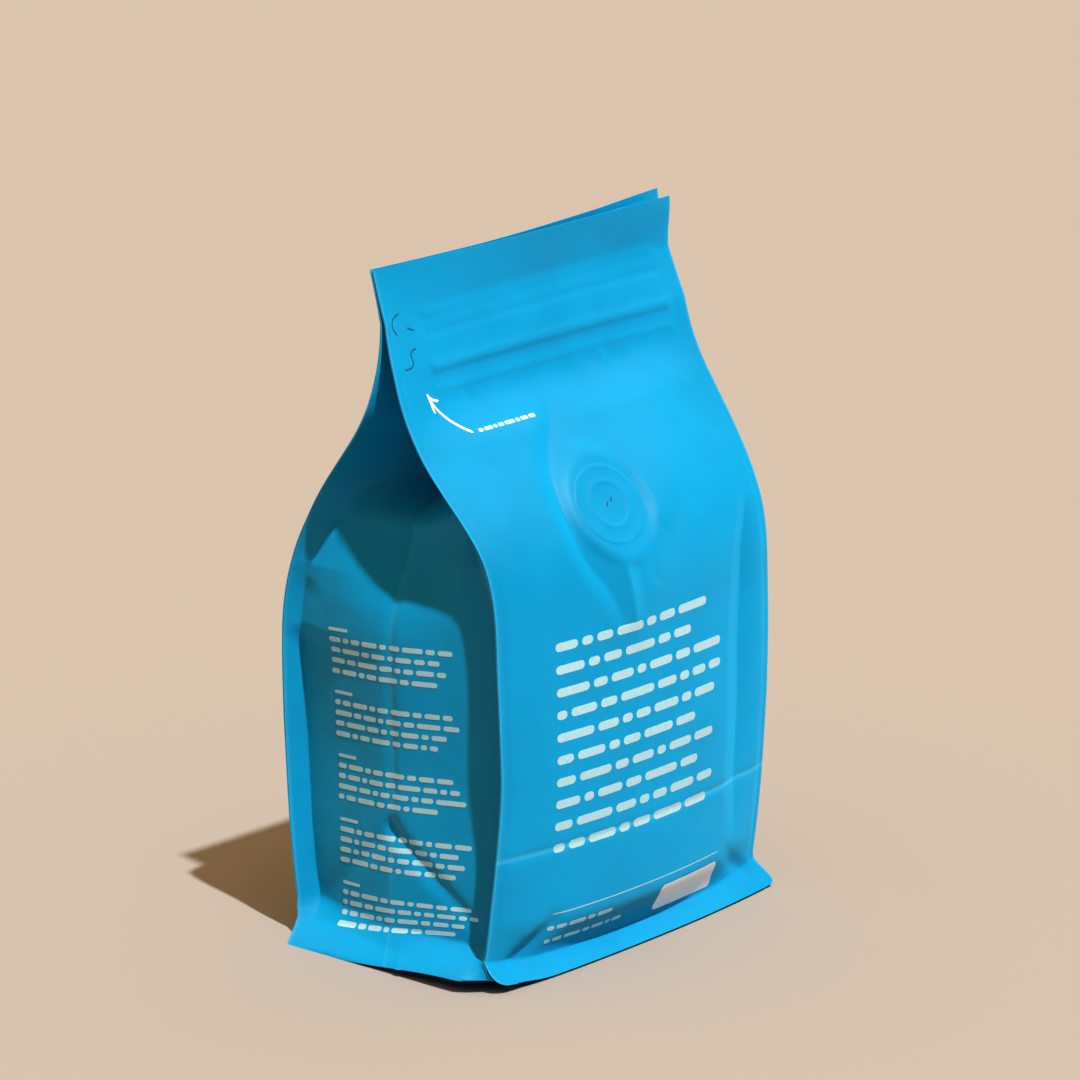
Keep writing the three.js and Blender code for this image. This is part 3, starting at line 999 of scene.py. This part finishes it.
def add_stroke(bm, line, width, place, steps=24):
    """Adds a thin stroke that follows line(t), a pair of numbers, with round-drawn ends."""
    off = sizes().ink * 1000

    def shape(s, t):
        a, b = line(s)
        a1, b1 = line(s + 1e-3)
        length = np.hypot(a1 - a, b1 - b)
        side = (t - 0.5) * width * np.sqrt(np.clip(1 - (2 * s - 1) ** 40, 0.05, 1))
        return place(a - (b1 - b) / length * side, b + (a1 - a) / length * side, off)

    add_sheet(bm, steps, 3, shape)


def curve_through(start, middle, end):
    """A bend from start to end that is pulled towards middle."""

    def line(t):
        return tuple(
            (1 - t) ** 2 * a + 2 * t * (1 - t) * b + t**2 * c
            for a, b, c in zip(start, middle, end)
        )

    return line


ARROW = {
    "shaft": ((-44.4, 177.5), (-52.5, 181.5), (-56.4, 190.6)),
    "point": ((-56.6, 190.9), (-55.4, 188.4)),
    "barbs": ((-51.6, 187.8), (-55.2, 184.6)),
}
TAB_SLITS = (
    ((-62.2, 217.3), (-70.5, 216.0), (-64.9, 210.7)),
    ((-59.7, 212.2), (-58.2, 211.3), (-56.6, 210.8)),
    ((-57.4, 205.3), (-61.4, 205.2), (-60.3, 202.6)),
    ((-60.3, 202.6), (-59.2, 199.4), (-64.8, 200.0)),
)


class POUCH_OT_marks(bpy.types.Operator):
    """The opening arrow, and dark strips of painted shade over the die-cut slits of the tear tab and
    the pricks over the valve
    """

    bl_idname = "pouch.marks"
    bl_label = "Arrow and cuts"

    def execute(self, context):
        white = printed_ink("white_ink", finishes().white, 0.12)
        bm = new_bmesh()
        add_stroke(bm, curve_through(*ARROW["shaft"]), 0.75, front_place)
        for barb in ARROW["barbs"]:
            add_stroke(bm, curve_through(*ARROW["point"], barb), 0.8, front_place, 10)
        add_ink("arrow", bm, white)

        material, tree, shader = new_material("painted_cut_shade")
        if tree is not None:
            # painted shade: a dark tone stands in for the shadowed gap of a knife cut through the
            # same laminate
            place = add_node(tree, "ShaderNodeTexCoord").outputs["Object"]
            grain = add_node(
                tree, "ShaderNodeTexNoise", inputs={"Vector": place, "Scale": 900.0}
            ).outputs["Fac"]
            tone = add_node(
                tree,
                "ShaderNodeMix",
                {"data_type": "RGBA"},
                {
                    "Factor": grain,
                    "A": (*linear("#003A63"), 1),
                    "B": (*linear("#00588C"), 1),
                },
            )
            tree.links.new(tone.outputs["Result"], shader.inputs["Base Color"])
            shader.inputs["Roughness"].default_value = 0.6
        # dark strips of painted shade along the tab's slits and over the valve's pricks
        bm = new_bmesh()
        for slit in TAB_SLITS:
            add_stroke(bm, curve_through(*slit), 0.5, front_place, 18)
        for x, z in VENT_PRICKS:
            line = curve_through((x - 0.5, z - 0.7), (x - 0.4, z + 0.5), (x + 0.6, z + 0.6))
            add_stroke(bm, line, 0.5, lambda a, b, off: front_place(a, b, off + VENT_RISE), 8)
        add_ink("cuts", bm, material)
        return {"FINISHED"}


class POUCH_OT_stage(bpy.types.Operator):
    """Paper floor, a small high lamp, a broad warm one overhead, dim room light and the camera"""

    bl_idname = "pouch.stage"
    bl_label = "Studio"

    def execute(self, context):
        scene = context.scene
        paper, tree, shader = new_material("studio_paper")
        if tree is not None:
            place = add_node(tree, "ShaderNodeTexCoord").outputs["Object"]
            grain = add_node(
                tree, "ShaderNodeTexNoise", inputs={"Vector": place, "Scale": 600.0, "Detail": 3.0}
            ).outputs["Fac"]
            even = add_node(
                tree,
                "ShaderNodeMapRange",
                inputs={"Value": grain, "To Min": 0.97, "To Max": 1.03},
            ).outputs["Result"]
            tone = add_node(
                tree,
                "ShaderNodeHueSaturation",
                inputs={"Value": even, "Color": colour_of(finishes().paper)},
            )
            tree.links.new(tone.outputs["Color"], shader.inputs["Base Color"])
            shader.inputs["Roughness"].default_value = 0.9
            shader.inputs["Specular IOR Level"].default_value = 0.1
        bm = bmesh.new()
        bmesh.ops.create_circle(bm, cap_ends=True, segments=64, radius=8)
        mesh = bpy.data.meshes.new("floor")
        bm.to_mesh(mesh)
        bm.free()
        mesh.materials.append(paper)
        floor = bpy.data.objects.new("floor", mesh)
        scene.collection.objects.link(floor)

        for name, towards, angle, energy, tone in (
            ("key", (-0.12, -0.462, 0.88), 1.3, 4.9, (1.0, 0.96, 0.86)),
            ("overhead", (0, 0, 1), 110, 2.3, (1.0, 0.6, 0.25)),
        ):
            towards = Vector(towards)
            lamp = bpy.data.lights.new(name, "SUN")
            lamp.angle = math.radians(angle)
            lamp.energy = energy
            lamp.color = tone
            hung = bpy.data.objects.new(name, lamp)
            hung.location = towards * 2.8
            hung.rotation_mode = "QUATERNION"
            hung.rotation_quaternion = towards.to_track_quat("Z", "Y")
            scene.collection.objects.link(hung)

        world = bpy.data.worlds.new("room")
        world.use_nodes = True
        background = world.node_tree.nodes["Background"]
        background.inputs["Color"].default_value = (1.0, 0.8, 0.5, 1)
        background.inputs["Strength"].default_value = 0.12
        scene.world = world

        a, e = math.radians(VIEW_ROUND), math.radians(VIEW_RISE)
        back = Vector((-math.sin(a) * math.cos(e), -math.cos(a) * math.cos(e), math.sin(e)))
        right = Vector((math.cos(a), -math.sin(a), 0))
        up = back.cross(right)
        place = back * VIEW_REACH + right * VIEW_CENTRE[0] + up * VIEW_CENTRE[1]
        place += Vector((*BOX_SHIFT, 0))
        eye = bpy.data.cameras.new("camera")
        eye.sensor_width = 36
        eye.lens = VIEW_LENS
        eye.clip_start, eye.clip_end = 0.1, 40
        camera = bpy.data.objects.new("camera", eye)
        camera.location = place / 1000
        camera.rotation_mode = "QUATERNION"
        camera.rotation_quaternion = back.to_track_quat("Z", "Y")
        scene.collection.objects.link(camera)
        scene.camera = camera
        scene.view_settings.view_transform = "Standard"
        scene.view_settings.look = "Medium High Contrast"
        return {"FINISHED"}


OPERATORS = (
    POUCH_OT_panels,
    POUCH_OT_gussets,
    POUCH_OT_base,
    POUCH_OT_valve,
    POUCH_OT_print,
    POUCH_OT_marks,
    POUCH_OT_stage,
)


class POUCH_PT_sidebar(bpy.types.Panel):
    """Lists the steps that build the pouch"""

    bl_idname = "POUCH_PT_sidebar"
    bl_label = "Pouch"
    bl_space_type = "VIEW_3D"
    bl_region_type = "UI"
    bl_category = "Pouch"

    def draw(self, context):
        for group in (sizes(), finishes()):
            for key in group.__annotations__:
                self.layout.prop(group, key)
        for operator in OPERATORS:
            self.layout.operator(operator.bl_idname)


CLASSES = (PouchSizes, PouchFinishes, *OPERATORS, POUCH_PT_sidebar)


def register():
    for cls in CLASSES:
        bpy.utils.register_class(cls)
    bpy.types.Scene.pouch_sizes = bpy.props.PointerProperty(type=PouchSizes)
    bpy.types.Scene.pouch_finishes = bpy.props.PointerProperty(type=PouchFinishes)


def unregister():
    del bpy.types.Scene.pouch_finishes
    del bpy.types.Scene.pouch_sizes
    for cls in reversed(CLASSES):
        bpy.utils.unregister_class(cls)


def main():
    register()
    bpy.ops.pouch.panels()
    bpy.ops.pouch.gussets()
    bpy.ops.pouch.base()
    bpy.ops.pouch.valve()
    bpy.ops.pouch.print()
    bpy.ops.pouch.marks()
    bpy.ops.pouch.stage()


if __name__ == "__main__":
    main()
